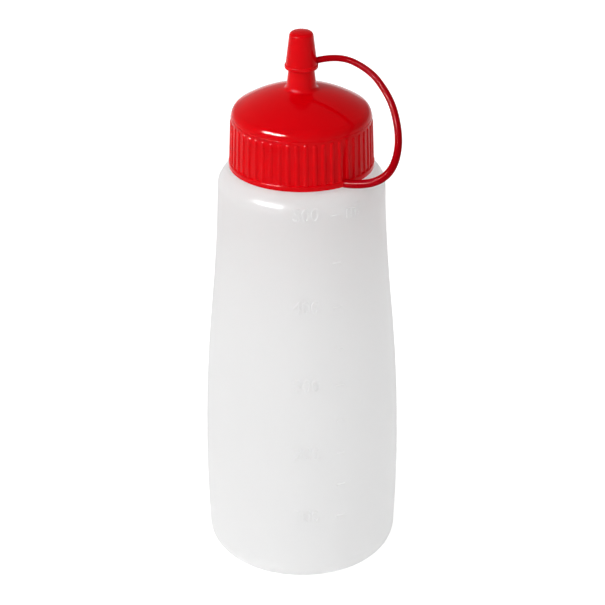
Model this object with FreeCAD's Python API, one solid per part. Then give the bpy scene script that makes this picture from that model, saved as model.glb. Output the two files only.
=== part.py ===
import FreeCAD, Part
import math
import os

from FreeCAD import Vector

# A squeeze bottle with a screw cap, a nozzle and a tip cap on a tether.
# Millimetres, +Z up. The origin is on the bottle's axis, in the plane of its foot.
# The front is towards -Y, and the tether bows out towards +X.

# Bottle body: a wall that swells to the belly and narrows to the shoulder
shoulder_height = 154.5
belly_radius = 35.9
belly_height = 41.0
taper = 5.75              # how much narrower the wall is at its waist than at its belly
waist_rise = 6.5          # the wall would stand upright this far above the shoulder
shoulder_fillet = 7.0
wall = 1.0

# Foot: a narrow ring round a raised floor
foot_inset = 7.4          # from the belly's radius in to the middle of the foot ring
foot_width = 1.6
foot_fillet = 0.8
foot_wall = 1.4
heel_height = 3.0         # where the slanted underside would meet the wall, before rounding
heel_fillet = 9.5
push_height = 6.2         # hollow under the raised floor
push_inset = 1.9          # from the foot ring in to the edge of the raised floor
push_fillet = 1.2
floor_wall = 1.2

# Neck
shoulder_width = 8.15     # from the waist's radius in to the neck
neck_height = 19.5
neck_wall = 1.8
neck_root_fillet = 0.8
rim_fillet = 0.5

# Thread, one ridge on the neck and one in the cap
thread_pitch = 4.2
thread_turns = 1.75
thread_depth = 1.1
thread_root = 1.9
thread_crest = 0.9
thread_start = 6.0        # above the shoulder
thread_bite = 0.3         # how far a ridge's root runs into its wall

# Fits
thread_clearance = 0.4    # between a ridge's crest and the facing wall
cap_gap = 0.85            # between the shoulder and the cap's lower edge
tip_clearance = 0.2       # round the spigot inside the tip cap
tip_headroom = 0.8        # above the spigot inside the tip cap

# Screw cap: bead, ribbed skirt, ridge and dome
skirt_wall = 1.65
skirt_draft = 0.45        # how much wider the skirt is at its foot
bead_height = 2.1
bead_depth = 0.65
bead_top_fillet = 0.5
bead_low_fillet = 0.3
rib_count = 50
rib_radius = 1.2
rib_depth = 0.45          # at its foot
rib_fade = 0.1            # how much shallower a rib is at its upper end, which keeps it off the cone's slope
rib_gap = 0.2             # between a rib's upper end and the ridge
ridge_height = 0.8
ridge_depth = 0.15
ridge_fillet = 0.1
ridge_drop = 0.2          # the ridge's upper edge lies this far below the neck's rim
dome_side = 2.4           # upright side above the ridge, before rounding
dome_fillet = 4.2
dome_height = 10.6        # from the ridge to the nozzle's root
dome_bulge = 1.25         # how far the dome stands out from a straight cone
dome_wall = 1.6
land_width = 3.3          # ring inside the cap that seals on the neck's rim

# Nozzle
nozzle_root_radius = 5.5
nozzle_root_fillet = 1.6
nozzle_top_radius = 4.55
nozzle_height = 7.65
nozzle_wall = 1.3
nozzle_edge_fillet = 0.15
outlet_radius = 1.5
spigot_fillet = 0.4

# Tip cap
tip_seat = 0.4            # width of the nozzle's shoulder that carries the tip cap
tip_wall = 1.67
tip_height = 13.9
tip_draft = 1.6           # how much narrower the cone is at its top
tip_top_wall = 1.6
tip_fillet = 1.6
tip_crown = 0.8           # how much higher the top is at its middle than at its edge
flange_height = 1.45
flange_depth = 0.18
flange_fillet = 0.45

# Tether: one round strap from the cap's bead to the tip cap
tether_diameter = 2.5
lug_azimuth = 36.4        # from -Y towards +X
tip_azimuth = 90.0
tether_drop = 0.25        # from the cap's lower edge down to the strap's lowest line
tether_lift = 2.45        # above the tip cap's lower face, at its end
tether_bite = 1.1         # how far the strap's path starts inside the piece that it meets
# Each point: radius as a share of the bead's, azimuth in degrees, share of the rise from end to end
tether_route = [
    (1.108, 40.8, 0.000),
    (1.365, 48.5, 0.048),
    (1.535, 53.0, 0.185),
    (1.545, 57.8, 0.418),
    (1.395, 63.3, 0.668),
    (1.210, 68.9, 0.816),
    (0.940, 77.1, 0.965),
    (0.497, 87.4, 1.069),
]
arc_share = 0.45          # share of the shorter run that each bend takes

# Working values
open_end = 1.0            # how far a cavity is cut past its open end
fillet_room = 0.95        # share of its room that a fillet may take where room is tight
match = 0.01              # a circle this near to a stated size is the one meant

# Sizes that follow
waist_radius = belly_radius - taper
waist_height = shoulder_height + waist_rise
foot_radius = belly_radius - foot_inset
push_radius = foot_radius - push_inset
neck_radius = waist_radius - shoulder_width
neck_bore = neck_radius - neck_wall
rim_height = shoulder_height + neck_height

cap_base = shoulder_height + cap_gap
cap_bore = neck_radius + thread_depth + thread_clearance
skirt_radius = cap_bore + skirt_wall
skirt_foot_radius = skirt_radius + skirt_draft
bead_radius = skirt_foot_radius + bead_depth
bead_top = cap_base + bead_height
ridge_top = rim_height - ridge_drop
ridge_radius = skirt_radius + ridge_depth
dome_top = ridge_top + dome_height
land_radius = cap_bore - land_width

seat_height = dome_top + nozzle_height
tip_bore = nozzle_top_radius - tip_seat
tip_radius = tip_bore + tip_wall
flange_radius = tip_radius + flange_depth
tip_top = seat_height + tip_height
spigot_top = tip_top - tip_top_wall - tip_headroom
tip_slope = tip_draft / (tip_height - tip_crown)


# --- Helpers ---

def point(radius, height):
    return Vector(radius, 0, height)


def polar(radius, azimuth, height):
    angle = math.radians(azimuth)
    return Vector(radius * math.sin(angle), -radius * math.cos(angle), height)


def lines(points):
    return [Part.LineSegment(a, b).toShape() for a, b in zip(points, points[1:])]


def arc(start, middle, end):
    return Part.Arc(start, middle, end).toShape()


def spin(edges):
    """Turn a closed half outline round the Z axis."""
    face = Part.Face(Part.Wire(edges))
    solid = face.revolve(Vector(0, 0, 0), Vector(0, 0, 1), 360)
    if solid.Volume < 0:
        solid.reverse()
    return Part.Solid(solid.Shells[0])


def ring_edge(solid, radius, height):
    """The circle of this radius at this height."""
    for edge in solid.Edges:
        curve = edge.Curve
        if not isinstance(curve, Part.Circle) or len(edge.Vertexes) > 1:
            continue
        if abs(curve.Radius - radius) < match and abs(curve.Center.z - height) < match:
            return edge
    raise ValueError("no circle of radius %.2f at height %.2f" % (radius, height))


def soften(solid, rings):
    """Round each circle given as (radius, height, fillet radius)."""
    for radius, height, fillet in rings:
        solid = solid.makeFillet(fillet, [ring_edge(solid, radius, height)])
    return solid


def corner_fillet(fillet, run, turn):
    """A fillet no larger than the shorter run beside its corner allows."""
    return min(fillet, fillet_room * run / math.tan(turn / 2))


def one_solid(shape):
    merged = shape.removeSplitter()
    if len(merged.Solids) != 1:
        raise ValueError("expected one solid, found %d" % len(merged.Solids))
    return merged.Solids[0]


# --- Bottle ---

def wall_radius(height):
    """Outer radius of the body's wall: two equal arcs, one round the belly, one into the waist."""
    rise = waist_height - belly_height
    bend = (rise ** 2 + taper ** 2) / (4 * taper)
    if height <= belly_height + rise / 2:
        return belly_radius - bend + math.sqrt(bend ** 2 - (height - belly_height) ** 2)
    return waist_radius + bend - math.sqrt(bend ** 2 - (waist_height - height) ** 2)


def wall_arcs(low, high, inset):
    turn = (belly_height + waist_height) / 2
    arcs = []
    for bottom, top in ((low, turn), (turn, high)):
        heights = (bottom, (bottom + top) / 2, top)
        arcs.append(arc(*[point(wall_radius(z) - inset, z) for z in heights]))
    return arcs


def body_form():
    """The body filled solid, with its raised underside."""
    heel_radius = wall_radius(heel_height)
    shoulder_radius = wall_radius(shoulder_height)
    foot_in = foot_radius - foot_width / 2
    foot_out = foot_radius + foot_width / 2
    edges = lines([
        point(0, push_height),
        point(push_radius, push_height),
        point(foot_in, 0),
        point(foot_out, 0),
        point(heel_radius, heel_height),
    ])
    edges += wall_arcs(heel_height, shoulder_height, 0)
    edges += lines([
        point(shoulder_radius, shoulder_height),
        point(neck_radius, shoulder_height),
        point(neck_radius, rim_height),
        point(0, rim_height),
        point(0, push_height),
    ])
    heel_run = math.hypot(heel_radius - foot_out, heel_height)
    heel_turn = math.pi / 2 - math.atan2(heel_height, heel_radius - foot_out)
    shoulder_run = shoulder_radius - neck_radius - neck_root_fillet
    return soften(spin(edges), [
        (heel_radius, heel_height, corner_fillet(heel_fillet, heel_run, heel_turn)),
        (foot_in, 0, min(foot_fillet, foot_width / 2)),
        (foot_out, 0, min(foot_fillet, foot_width / 2)),
        (push_radius, push_height, push_fillet),
        (shoulder_radius, shoulder_height, corner_fillet(shoulder_fillet, shoulder_run, math.pi / 2)),
        (neck_radius, shoulder_height, neck_root_fillet),
        (neck_radius, rim_height, rim_fillet),
    ])


def body_cavity():
    """The space inside the body and the neck, open past the rim."""
    heel = heel_height + foot_wall
    heel_radius = wall_radius(heel) - wall
    ceiling = shoulder_height - wall
    ceiling_radius = wall_radius(ceiling) - wall
    floor = push_height + floor_wall
    floor_radius = push_radius + wall
    above_rim = rim_height + open_end
    edges = lines([
        point(0, floor),
        point(floor_radius, floor),
        point(foot_radius, foot_wall),
        point(heel_radius, heel),
    ])
    edges += wall_arcs(heel, ceiling, wall)
    edges += lines([
        point(ceiling_radius, ceiling),
        point(neck_bore, ceiling),
        point(neck_bore, above_rim),
        point(0, above_rim),
        point(0, floor),
    ])
    heel_run = math.hypot(heel_radius - foot_radius, heel - foot_wall)
    heel_turn = math.pi / 2 - math.atan2(heel - foot_wall, heel_radius - foot_radius)
    ceiling_run = ceiling_radius - neck_bore
    return soften(spin(edges), [
        (heel_radius, heel, corner_fillet(heel_fillet - wall, heel_run, heel_turn)),
        (floor_radius, floor, push_fillet + wall),
        (ceiling_radius, ceiling, corner_fillet(shoulder_fillet - wall, ceiling_run, math.pi / 2)),
    ])


def thread_ridge(root_radius, reach, start):
    """A helical ridge whose crest lies at root_radius + reach."""
    bite = math.copysign(thread_bite, reach)
    corners = [
        point(root_radius - bite, -thread_root / 2),
        point(root_radius + reach, -thread_crest / 2),
        point(root_radius + reach, thread_crest / 2),
        point(root_radius - bite, thread_root / 2),
    ]
    section = Part.Wire(lines(corners + corners[:1]))
    helix = Part.makeHelix(thread_pitch, thread_pitch * thread_turns, root_radius)
    ridge = Part.Wire(helix).makePipeShell([section], True, True)
    ridge.translate(Vector(0, 0, start))
    return ridge


def bottle():
    ridge = thread_ridge(neck_radius, thread_depth, shoulder_height + thread_start)
    return one_solid(body_form().fuse(ridge).cut(body_cavity()))


# --- Screw cap ---

def dome_circle():
    """Centre and radius of the dome's curve in its half outline."""
    foot = point(skirt_radius, ridge_top + dome_side)
    head = point(nozzle_root_radius, dome_top)
    chord = head - foot
    bend = (chord.Length ** 2 / 4 + dome_bulge ** 2) / (2 * dome_bulge)
    outward = Vector(chord.z, 0, -chord.x).normalize()
    return (foot + head) * 0.5 - outward * (bend - dome_bulge), bend


def dome_arc(start_radius, end_radius, drop):
    """Three points of the dome's curve between two radii, lowered by drop."""
    centre, bend = dome_circle()
    points = []
    for radius in (start_radius, (start_radius + end_radius) / 2, end_radius):
        height = centre.z + math.sqrt(bend ** 2 - (radius - centre.x) ** 2)
        points.append(point(radius, height - drop))
    return points


def dome_edge_turn():
    """The angle between the upright side below the dome's edge and the dome's curve above it."""
    centre, bend = dome_circle()
    return math.pi / 2 - math.asin((skirt_radius - centre.x) / bend)


def cap_form():
    """The cap filled solid, without its ribs."""
    dome = dome_arc(skirt_radius, nozzle_root_radius, 0)
    ridge_low = ridge_top - ridge_height
    spigot_radius = tip_bore - tip_clearance
    spigot_tip = spigot_radius - tip_slope * (spigot_top - seat_height)
    edges = lines([
        point(0, cap_base),
        point(bead_radius, cap_base),
        point(bead_radius, bead_top),
        point(skirt_foot_radius, bead_top),
        point(skirt_radius, ridge_low),
        point(ridge_radius, ridge_low),
        point(ridge_radius, ridge_top),
        point(skirt_radius, ridge_top),
        dome[0],
    ])
    edges.append(arc(*dome))
    edges += lines([
        dome[2],
        point(nozzle_top_radius, seat_height),
        point(spigot_radius, seat_height),
        point(spigot_tip, spigot_top),
        point(0, spigot_top),
        point(0, cap_base),
    ])
    return soften(spin(edges), [
        (bead_radius, cap_base, bead_low_fillet),
        (bead_radius, bead_top, bead_top_fillet),
        (ridge_radius, ridge_low, ridge_fillet),
        (ridge_radius, ridge_top, ridge_fillet),
        (skirt_radius, dome[0].z, corner_fillet(dome_fillet, dome_side, dome_edge_turn())),
        (nozzle_root_radius, dome[2].z, nozzle_root_fillet),
        (nozzle_top_radius, seat_height, nozzle_edge_fillet),
        (spigot_tip, spigot_top, spigot_fillet),
    ])


def cap_cavity():
    """The bore over the neck, the space under the dome and the nozzle's passage."""
    passage_root = nozzle_root_radius - nozzle_wall
    passage_top = nozzle_top_radius - nozzle_wall
    under_dome = dome_arc(land_radius, passage_root, dome_wall)
    below = cap_base - open_end
    above = spigot_top + open_end
    edges = lines([
        point(0, below),
        point(cap_bore, below),
        point(cap_bore, rim_height),
        point(land_radius, rim_height),
        under_dome[0],
    ])
    edges.append(arc(*under_dome))
    edges += lines([
        under_dome[2],
        point(passage_top, seat_height - nozzle_wall),
        point(outlet_radius, seat_height),
        point(outlet_radius, above),
        point(0, above),
        point(0, below),
    ])
    return spin(edges)


def rib():
    """One upright rib with a round back and a round upper end, as a solid at +X."""
    skirt_height = ridge_top - ridge_height - bead_top
    height = skirt_height - rib_gap
    depth_in = rib_radius - rib_depth
    crown = math.sqrt(rib_radius ** 2 - depth_in ** 2)
    base = -bead_height / 2
    shaft_top = height - crown
    top = point(0, shaft_top + rib_radius)
    edges = lines([top, point(0, base), point(rib_radius, base), point(rib_radius, shaft_top)])
    shoulder = point(rib_radius * math.sin(math.pi / 4), shaft_top + rib_radius * math.cos(math.pi / 4))
    edges.append(arc(point(rib_radius, shaft_top), shoulder, top))
    solid = spin(edges)
    lean = math.degrees(math.atan2(skirt_draft + rib_fade, skirt_height))
    solid.rotate(Vector(0, 0, 0), Vector(0, 1, 0), -lean)
    solid.translate(Vector(skirt_foot_radius - depth_in, 0, bead_top))
    return solid


def screw_cap():
    ribs = []
    for index in range(rib_count):
        copy = rib()
        copy.rotate(Vector(0, 0, 0), Vector(0, 0, 1), index * 360 / rib_count)
        ribs.append(copy)
    start = shoulder_height + thread_start + thread_pitch / 2
    ridge = thread_ridge(cap_bore, -thread_depth, start)
    return one_solid(cap_form().fuse(ribs).cut(cap_cavity()).fuse(ridge))


# --- Tip cap ---

def tip_cap_form():
    """The tip cap filled solid."""
    cone_at_flange = tip_radius - tip_slope * flange_height
    cone_at_top = tip_radius - tip_draft
    flange_top = seat_height + flange_height
    brow = tip_top - tip_crown
    edges = lines([
        point(0, tip_top),
        point(0, seat_height),
        point(flange_radius, seat_height),
        point(flange_radius, flange_top),
        point(cone_at_flange, flange_top),
        point(cone_at_top, brow),
    ])
    crown_bend = (cone_at_top ** 2 + tip_crown ** 2) / (2 * tip_crown)
    crown_side = crown_bend * math.sin(math.asin(cone_at_top / crown_bend) / 2)
    crown_drop = crown_bend - math.sqrt(crown_bend ** 2 - crown_side ** 2)
    edges.append(arc(point(cone_at_top, brow), point(crown_side, tip_top - crown_drop), point(0, tip_top)))
    ledge = flange_radius - cone_at_flange
    return soften(spin(edges), [
        (flange_radius, seat_height, flange_fillet),
        (flange_radius, flange_top, min(flange_fillet, fillet_room * ledge)),
        (cone_at_top, brow, tip_fillet),
    ])


def tip_cap():
    ceiling = tip_top - tip_top_wall
    ceiling_radius = tip_bore - tip_slope * (ceiling - seat_height)
    below = seat_height - open_end
    cavity = spin(lines([
        point(0, below),
        point(tip_bore + tip_slope * open_end, below),
        point(ceiling_radius, ceiling),
        point(0, ceiling),
        point(0, below),
    ]))
    return one_solid(tip_cap_form().cut(cavity))


# --- Tether ---

def tether_points():
    low = cap_base - tether_drop + tether_diameter / 2
    high = seat_height + tether_lift
    cone = tip_radius - tip_slope * tether_lift
    points = [polar(bead_radius - tether_bite, lug_azimuth, low)]
    for share, azimuth, rise in tether_route:
        points.append(polar(share * bead_radius, azimuth, low + rise * (high - low)))
    points.append(polar(cone - tether_bite, tip_azimuth, high))
    return points


def rounded_path(points):
    """Straight runs joined by tangent arcs, each as large as its two runs allow."""
    edges = []
    start = points[0]
    length = 0
    for before, corner, after in zip(points, points[1:], points[2:]):
        back = (before - corner).normalize()
        ahead = (after - corner).normalize()
        half_turn = (math.pi - back.getAngle(ahead)) / 2
        reach = arc_share * min((before - corner).Length, (after - corner).Length)
        radius = reach / math.tan(half_turn)
        print("tether bend: radius %.1f, turn %.0f degrees" % (radius, math.degrees(2 * half_turn)))
        enter = corner + back * reach
        leave = corner + ahead * reach
        inward = (back + ahead).normalize()
        centre = corner + inward * (radius / math.cos(half_turn))
        middle = centre - inward * radius
        edges.append(Part.LineSegment(start, enter).toShape())
        edges.append(arc(enter, middle, leave))
        length += (enter - start).Length + 2 * half_turn * radius
        start = leave
    edges.append(Part.LineSegment(start, points[-1]).toShape())
    length += (points[-1] - start).Length
    return Part.Wire(edges), length


def tether(cap):
    """The strap, cut where it meets the cap and the tip cap."""
    points = tether_points()
    path, length = rounded_path(points)
    section = Part.Circle(points[0], points[1] - points[0], tether_diameter / 2).toShape()
    strap = path.makePipeShell([Part.Wire(section)], True, False)
    expected = math.pi * (tether_diameter / 2) ** 2 * length
    print("tether: length %.1f, volume %.1f, section times length %.1f" % (length, strap.Volume, expected))
    return one_solid(strap.cut(cap).cut(tip_cap_form()))


# --- Export ---

os.makedirs("parts", exist_ok=True)
cap = screw_cap()
pieces = {
    "bottle": bottle(),
    "screw_cap": cap,
    "tip_cap": tip_cap(),
    "tether": tether(cap),
}
for name, shape in pieces.items():
    shape.exportStep("parts/%s.step" % name)
    print("%s: volume %.0f mm3, valid %s" % (name, shape.Volume, shape.isValid()))
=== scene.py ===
import math

import bpy
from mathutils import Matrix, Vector


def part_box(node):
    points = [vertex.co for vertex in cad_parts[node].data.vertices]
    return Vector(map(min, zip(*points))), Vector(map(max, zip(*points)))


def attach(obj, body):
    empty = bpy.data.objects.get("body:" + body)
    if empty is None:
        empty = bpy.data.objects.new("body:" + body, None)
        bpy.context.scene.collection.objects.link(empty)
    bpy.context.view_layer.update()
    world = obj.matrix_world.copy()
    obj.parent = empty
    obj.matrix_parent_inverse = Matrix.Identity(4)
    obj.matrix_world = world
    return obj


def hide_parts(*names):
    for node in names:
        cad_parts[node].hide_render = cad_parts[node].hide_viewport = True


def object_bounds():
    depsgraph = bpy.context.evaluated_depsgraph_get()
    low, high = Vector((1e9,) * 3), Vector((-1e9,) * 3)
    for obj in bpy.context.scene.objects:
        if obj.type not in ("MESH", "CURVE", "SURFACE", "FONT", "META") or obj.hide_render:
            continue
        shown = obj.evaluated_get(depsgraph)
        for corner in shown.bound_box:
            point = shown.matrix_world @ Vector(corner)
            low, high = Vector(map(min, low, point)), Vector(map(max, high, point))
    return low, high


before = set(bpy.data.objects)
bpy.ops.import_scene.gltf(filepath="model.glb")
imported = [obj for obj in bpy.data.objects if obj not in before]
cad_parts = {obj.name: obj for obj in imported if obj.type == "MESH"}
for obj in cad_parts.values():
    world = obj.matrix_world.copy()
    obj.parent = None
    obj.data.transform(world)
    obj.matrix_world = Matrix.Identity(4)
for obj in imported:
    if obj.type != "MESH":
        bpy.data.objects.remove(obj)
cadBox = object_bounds()
mm = 0.001
millilitre = 1e-6  # in cubic metres
print("frame loaded:", sorted(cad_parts))


class Wire:
    # a node socket that takes part in plain Python maths
    def __init__(self, tree, socket):
        self.tree = tree
        self.socket = socket

    def math(self, operation, first, second):
        node = self.tree.nodes.new("ShaderNodeMath")
        node.operation = operation
        for slot, value in enumerate((first, second)):
            if isinstance(value, Wire):
                self.tree.links.new(value.socket, node.inputs[slot])
            else:
                node.inputs[slot].default_value = value
        return Wire(self.tree, node.outputs[0])

    def __add__(self, other):
        return self.math("ADD", self, other)

    def __radd__(self, other):
        return self.math("ADD", other, self)

    def __sub__(self, other):
        return self.math("SUBTRACT", self, other)

    def __rsub__(self, other):
        return self.math("SUBTRACT", other, self)

    def __mul__(self, other):
        return self.math("MULTIPLY", self, other)

    def __rmul__(self, other):
        return self.math("MULTIPLY", other, self)


class Shader:
    # one material's or the world's node tree
    def __init__(self, owner):
        owner.use_nodes = True
        self.tree = owner.node_tree
        self.tree.nodes.clear()

    def node(self, kind, settings=None, **sockets):
        node = self.tree.nodes.new(kind)
        for name, value in (settings or {}).items():
            setattr(node, name, value)
        for name, value in sockets.items():
            self.feed(node.inputs[name.replace("_", " ")], value)
        return node

    def feed(self, socket, value):
        if isinstance(value, Wire):
            self.tree.links.new(value.socket, socket)
        elif isinstance(value, bpy.types.NodeSocket):
            self.tree.links.new(value, socket)
        else:
            socket.default_value = value

    def wire(self, socket):
        return Wire(self.tree, socket)

    def mix(self, share, first, second):
        # a colour between two others
        node = self.node("ShaderNodeMix", dict(data_type="RGBA"))
        for socket, value in zip([s for s in node.inputs if s.enabled], (share, first, second)):
            self.feed(socket, value)
        return next(s for s in node.outputs if s.enabled)

    def blend(self, share, first, second):
        # a shader between two others
        node = self.node("ShaderNodeMixShader", Fac=share)
        self.feed(node.inputs[1], first.outputs[0])
        self.feed(node.inputs[2], second.outputs[0])
        return node.outputs[0]

    def noise(self, size, detail=2.0, stretch=1.0):
        # values round 0.5, in blotches of about this size, drawn out along Z by stretch
        spot = self.node("ShaderNodeTexCoord").outputs["Object"]
        place = self.node("ShaderNodeMapping", Vector=spot, Scale=(1, 1, 1 / stretch))
        cloud = self.node("ShaderNodeTexNoise", Vector=place.outputs[0], Scale=1 / size,
                          Detail=detail)
        return self.wire(cloud.outputs[0])


# red plastic: glossy on the cap and the tip cap; on the strap a duller copy whose red is darkened as
# painted shade

redPlastic = dict(
    colour=(0.75, 0.0, 0.003, 1), deep=(0.67, 0.0, 0.003, 1), shine=0.055,
    # the strap's colours are darker copies of the cap's red: painted shade, since the strap is the same
    # plastic
    strapShadedColour=(0.42, 0.0, 0.003, 1), strapShadedDeep=(0.36, 0.0, 0.003, 1), strapShine=0.015,
    ior=1.5, roughness=0.07, roughSpread=0.05, cloud=9 * mm, grain=0.9 * mm, grainDepth=0.006 * mm)


def makeRedPlastic(name, colour, deep, shine):
    look = redPlastic
    mat = bpy.data.materials.new(name)
    sh = Shader(mat)
    cloud = sh.noise(look["cloud"])
    grain = sh.noise(look["grain"])
    bump = sh.node("ShaderNodeBump", Height=grain, Distance=look["grainDepth"], Strength=1.0)
    body = sh.node("ShaderNodeBsdfPrincipled", Base_Color=sh.mix(cloud, colour, deep),
                   Roughness=look["roughness"] + look["roughSpread"] * (cloud - 0.5),
                   IOR=look["ior"], Specular_IOR_Level=shine, Normal=bump.outputs[0])
    sh.node("ShaderNodeOutputMaterial", Surface=body.outputs[0])
    return mat


# milky plastic: lets most of the light through, and its cloudiness is drawn out along the bottle

milkyPlastic = dict(
    colour=(0.955, 0.955, 0.955, 1), dense=(0.935, 0.935, 0.935, 1), shine=0.22,
    glow=(0.965, 0.965, 0.965, 1), seeThrough=0.75,
    ior=1.5, roughness=0.22, roughSpread=0.08,
    cloud=14 * mm, cloudDetail=3.0, draw=3.0, grain=1.4 * mm, grainDepth=0.02 * mm)


def makeMilkyPlastic():
    look = milkyPlastic
    mat = bpy.data.materials.new("milkyPlastic")
    sh = Shader(mat)
    cloud = sh.noise(look["cloud"], detail=look["cloudDetail"], stretch=look["draw"])
    grain = sh.noise(look["grain"])
    bump = sh.node("ShaderNodeBump", Height=grain, Distance=look["grainDepth"], Strength=1.0)
    body = sh.node("ShaderNodeBsdfPrincipled",
                   Base_Color=sh.mix(cloud, look["colour"], look["dense"]),
                   Roughness=look["roughness"] + look["roughSpread"] * (cloud - 0.5),
                   IOR=look["ior"], Specular_IOR_Level=look["shine"], Normal=bump.outputs[0])
    haze = sh.node("ShaderNodeBsdfTranslucent", Color=look["glow"])
    sh.node("ShaderNodeOutputMaterial", Surface=sh.blend(look["seeThrough"], body, haze))
    return mat


red = makeRedPlastic("redPlastic", redPlastic["colour"], redPlastic["deep"],
                     redPlastic["shine"])
# the strap's material is the same red plastic with painted shade in its colour
strapShadedRed = makeRedPlastic("strapShadedPlastic", redPlastic["strapShadedColour"], redPlastic["strapShadedDeep"],
                          redPlastic["strapShine"])
milky = makeMilkyPlastic()


def dress(piece, material):
    piece.data.materials.clear()
    piece.data.materials.append(material)


dress(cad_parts["bottle"], milky)
for node in ("screw_cap", "tip_cap"):
    dress(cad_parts[node], red)
print("materials set")


def polar(radius, azimuth, height):
    # azimuth in degrees from the front towards the right
    turn = math.radians(azimuth)
    return Vector((radius * math.sin(turn), -radius * math.cos(turn), height))


# tether: one strap, stout where it leaves the cap and slimmer at the tip cap

tetherStrap = dict(
    radius=1.25 * mm, bite=1.1 * mm, drop=0.25 * mm, lift=2.45 * mm,
    start=36.4, end=90.0, tipRadius=5.55 * mm, roundSteps=8, lengthSteps=16,
    # share of the bead's radius, azimuth, share of the rise, thickness
    route=((1.108, 40.8, 0.000, 1.22), (1.365, 48.5, 0.048, 1.22), (1.535, 53.0, 0.185, 1.14),
           (1.545, 57.8, 0.418, 1.06), (1.395, 63.3, 0.668, 1.03), (1.210, 68.9, 0.816, 1.00),
           (0.940, 77.1, 0.965, 0.94), (0.497, 87.4, 1.069, 0.90)),
    rootThickness=1.3, tipThickness=0.95)


def makeTether():
    strap = tetherStrap
    capLow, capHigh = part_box("screw_cap")
    tipLow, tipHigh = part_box("tip_cap")
    bead = capHigh[0]
    low = capLow[2] - strap["drop"] + strap["radius"]
    high = tipLow[2] + strap["lift"]
    stops = [(polar(bead - strap["bite"], strap["start"], low), strap["rootThickness"])]
    for share, azimuth, rise, thickness in strap["route"]:
        stops.append((polar(share * bead, azimuth, low + rise * (high - low)), thickness))
    stops.append((polar(strap["tipRadius"] - strap["bite"], strap["end"], high), strap["tipThickness"]))
    curve = bpy.data.curves.new("tetherStrap", "CURVE")
    curve.dimensions = "3D"
    curve.bevel_depth = strap["radius"]
    curve.bevel_resolution = strap["roundSteps"]
    curve.resolution_u = strap["lengthSteps"]
    curve.use_fill_caps = True
    spline = curve.splines.new("NURBS")
    spline.points.add(len(stops) - 1)
    for point, (place, thickness) in zip(spline.points, stops):
        point.co = (*place, 1)
        point.radius = thickness
    spline.order_u = 3
    spline.use_endpoint_u = True
    piece = bpy.data.objects.new("tetherStrap", curve)
    bpy.context.scene.collection.objects.link(piece)
    # the strap wears the red darkened with painted shade
    dress(piece, strapShadedRed)
    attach(piece, "root")
    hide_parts("tether")


makeTether()
print("tether laid")


# volume scale: low raised marks on the wall, each at the height up to which the body holds its amount

volumeScale = dict(
    first=100, last=500, step=50, numberStep=100,
    bottom=0.5 * mm, wall=1.0 * mm, slice=0.25 * mm, reach=100 * mm,
    proud=0.30 * mm, edge=0.14 * mm, edgeSteps=2,
    tickAzimuth=23.3, tickLength=3.2 * mm, tickHeight=0.65 * mm, tickSteps=8,
    numberAzimuth=2.8, numberSize=6.6 * mm, numberDrop=1.4 * mm,
    unit="ml", unitAzimuth=37.0, unitSize=6.6 * mm)


def wallRadius(height):
    # where the body's outer wall stands, found by a ray from outside
    origin = Vector((volumeScale["reach"], 0, height))
    found, place, _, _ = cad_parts["bottle"].ray_cast(origin, Vector((-1, 0, 0)))
    if not found:
        raise ValueError("no wall at height %.4f" % height)
    return place.x


def heightHolding(millilitres):
    height, volume = volumeScale["bottom"], 0.0
    while volume < millilitres * millilitre:
        radius = wallRadius(height) - volumeScale["wall"]
        volume += math.pi * radius ** 2 * volumeScale["slice"]
        height += volumeScale["slice"]
    return height


def wrapOnWall(flat, name, azimuth, height):
    # bends a flat mesh round the body: X runs along the wall, Y up and Z outwards
    for vertex in flat.vertices:
        across, up, out = vertex.co
        radius = wallRadius(height + up)
        vertex.co = polar(radius + out, azimuth + math.degrees(across / radius), height + up)
    piece = bpy.data.objects.new(name, flat)
    bpy.context.scene.collection.objects.link(piece)
    dress(piece, milky)
    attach(piece, "root")


def flatText(words, size):
    # centred words of this size, as a mesh with rounded edges
    curve = bpy.data.curves.new("words", "FONT")
    curve.body = words
    curve.size = size
    curve.align_x = "CENTER"
    curve.extrude = volumeScale["proud"] - volumeScale["edge"]
    curve.bevel_depth = volumeScale["edge"]
    curve.bevel_resolution = volumeScale["edgeSteps"]
    label = bpy.data.objects.new("words", curve)
    bpy.context.scene.collection.objects.link(label)
    bpy.context.view_layer.update()
    depsgraph = bpy.context.evaluated_depsgraph_get()
    flat = bpy.data.meshes.new_from_object(label.evaluated_get(depsgraph))
    bpy.data.objects.remove(label)
    return flat


def flatTick():
    # a bar that is built in short steps, so that it bends round the wall
    names = ("tickLength", "tickHeight", "proud", "edge", "tickSteps")
    long, tall, proud, edge, steps = (volumeScale[name] for name in names)
    outline = ((-tall / 2, -proud), (-tall / 2, proud - edge), (-tall / 2 + edge, proud),
               (tall / 2 - edge, proud), (tall / 2, proud - edge), (tall / 2, -proud))
    vertices = [(long * (step / steps - 0.5), up, out)
                for step in range(steps + 1) for up, out in outline]
    corners = len(outline)
    faces = []
    for step in range(steps):
        for corner in range(corners):
            after = (corner + 1) % corners
            near, far = step * corners, (step + 1) * corners
            faces.append((near + corner, near + after, far + after, far + corner))
    faces.append(tuple(range(corners)))
    faces.append(tuple(steps * corners + corner for corner in reversed(range(corners))))
    flat = bpy.data.meshes.new("tick")
    flat.from_pydata(vertices, [], faces)
    return flat


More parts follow.
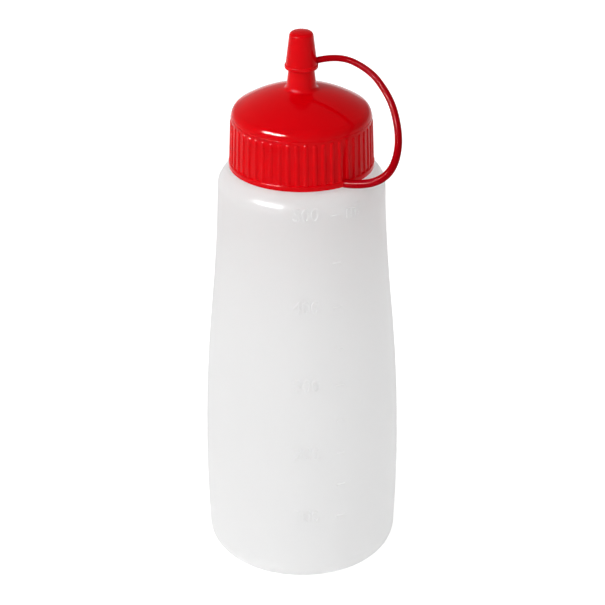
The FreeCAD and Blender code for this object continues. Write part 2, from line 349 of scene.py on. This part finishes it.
def makeVolumeScale():
    scale = volumeScale
    for amount in range(scale["first"], scale["last"] + 1, scale["step"]):
        height = heightHolding(amount)
        wrapOnWall(flatTick(), "tick_%d" % amount, scale["tickAzimuth"], height)
        if amount % scale["numberStep"] == 0:
            digits = flatText(str(amount), scale["numberSize"])
            base = height - scale["numberDrop"]
            wrapOnWall(digits, "number_%d" % amount, scale["numberAzimuth"], base)
    unit = flatText(scale["unit"], scale["unitSize"])
    base = heightHolding(scale["last"]) - scale["numberDrop"]
    wrapOnWall(unit, "unit", scale["unitAzimuth"], base)


makeVolumeScale()
print("volume scale raised")


# stage: floor, lamps, world and camera. The floor glows a little where it is seen or mirrored

floorSheet = dict(size=20.0, colour=(0.80, 0.80, 0.80, 1), lift=0.65)


def makeFloor():
    half = floorSheet["size"] / 2
    corners = [(-half, -half, 0), (half, -half, 0), (half, half, 0), (-half, half, 0)]
    mesh = bpy.data.meshes.new("floor")
    mesh.from_pydata(corners, [], [(0, 1, 2, 3)])
    floor = bpy.data.objects.new("floor", mesh)
    bpy.context.scene.collection.objects.link(floor)
    mat = bpy.data.materials.new("paperFloor")
    sh = Shader(mat)
    path = sh.node("ShaderNodeLightPath").outputs
    straight, mirrored, through = (sh.wire(path["Is %s Ray" % way])
                                   for way in ("Camera", "Glossy", "Transmission"))
    seen = straight + mirrored + through
    paper = sh.node("ShaderNodeBsdfDiffuse", Color=floorSheet["colour"])
    glow = sh.node("ShaderNodeEmission", Color=(1, 1, 1, 1), Strength=seen * floorSheet["lift"])
    both = sh.node("ShaderNodeAddShader")
    sh.feed(both.inputs[0], paper.outputs[0])
    sh.feed(both.inputs[1], glow.outputs[0])
    sh.node("ShaderNodeOutputMaterial", Surface=both.outputs[0])
    mesh.materials.append(mat)


makeFloor()

# the key lamp lights the object, and the strip only shows as a reflection
keyLamp = dict(azimuth=-48, elevation=35, distance=1.4, width=0.5, height=0.5, watts=7.5,
               diffuse=True, glossy=False)
stripLamp = dict(azimuth=-48, elevation=32, distance=1.1, width=0.66, height=0.28, watts=140,
                 diffuse=False, glossy=True)


def aim(holder, target):
    holder.rotation_euler = (holder.location - target).to_track_quat("Z", "Y").to_euler()


def addLamp(name, lamp):
    light = bpy.data.lights.new(name, "AREA")
    light.shape = "RECTANGLE"
    light.size = lamp["width"]
    light.size_y = lamp["height"]
    light.energy = lamp["watts"]
    holder = bpy.data.objects.new(name, light)
    target = Vector((0, 0, (cadBox[0].z + cadBox[1].z) / 2))
    lift = math.radians(lamp["elevation"])
    away, up = lamp["distance"] * math.cos(lift), lamp["distance"] * math.sin(lift)
    holder.location = target + polar(away, lamp["azimuth"], up)
    aim(holder, target)
    holder.visible_diffuse = lamp["diffuse"]
    holder.visible_glossy = lamp["glossy"]
    bpy.context.scene.collection.objects.link(holder)


addLamp("keyLamp", keyLamp)
addLamp("stripLamp", stripLamp)

# the room's light grows towards the left and the front, and fades overhead

room = dict(level=0.70, left=0.17, front=0.12, up=-0.22)


def makeWorld():
    world = bpy.data.worlds.new("room")
    bpy.context.scene.world = world
    sh = Shader(world)
    spot = sh.node("ShaderNodeTexCoord")
    split = sh.node("ShaderNodeSeparateXYZ", Vector=spot.outputs["Generated"])
    right, back, up = (sh.wire(split.outputs[axis]) for axis in "XYZ")
    level = room["level"] - room["left"] * right - room["front"] * back + room["up"] * up
    air = sh.node("ShaderNodeBackground", Color=(1, 1, 1, 1), Strength=level)
    sh.node("ShaderNodeOutputWorld", Surface=air.outputs[0])


makeWorld()

camera = dict(elevation=26.05, distance=0.959, aimHeight=0.09964, side=0.00025,
              lens=154.7, sensor=36, roll=-0.1)


def makeCamera():
    lens = bpy.data.cameras.new("camera")
    lens.lens = camera["lens"]
    lens.sensor_width = camera["sensor"]
    holder = bpy.data.objects.new("camera", lens)
    target = Vector((camera["side"], 0, camera["aimHeight"]))
    lift = math.radians(camera["elevation"])
    holder.location = target + camera["distance"] * Vector((0, -math.cos(lift), math.sin(lift)))
    holder.rotation_euler = (math.pi / 2 - lift, 0, 0)
    holder.rotation_euler.rotate_axis("Z", math.radians(camera["roll"]))
    bpy.context.scene.collection.objects.link(holder)
    bpy.context.scene.camera = holder


makeCamera()
bpy.context.scene.view_settings.view_transform = "Standard"
print("stage set")
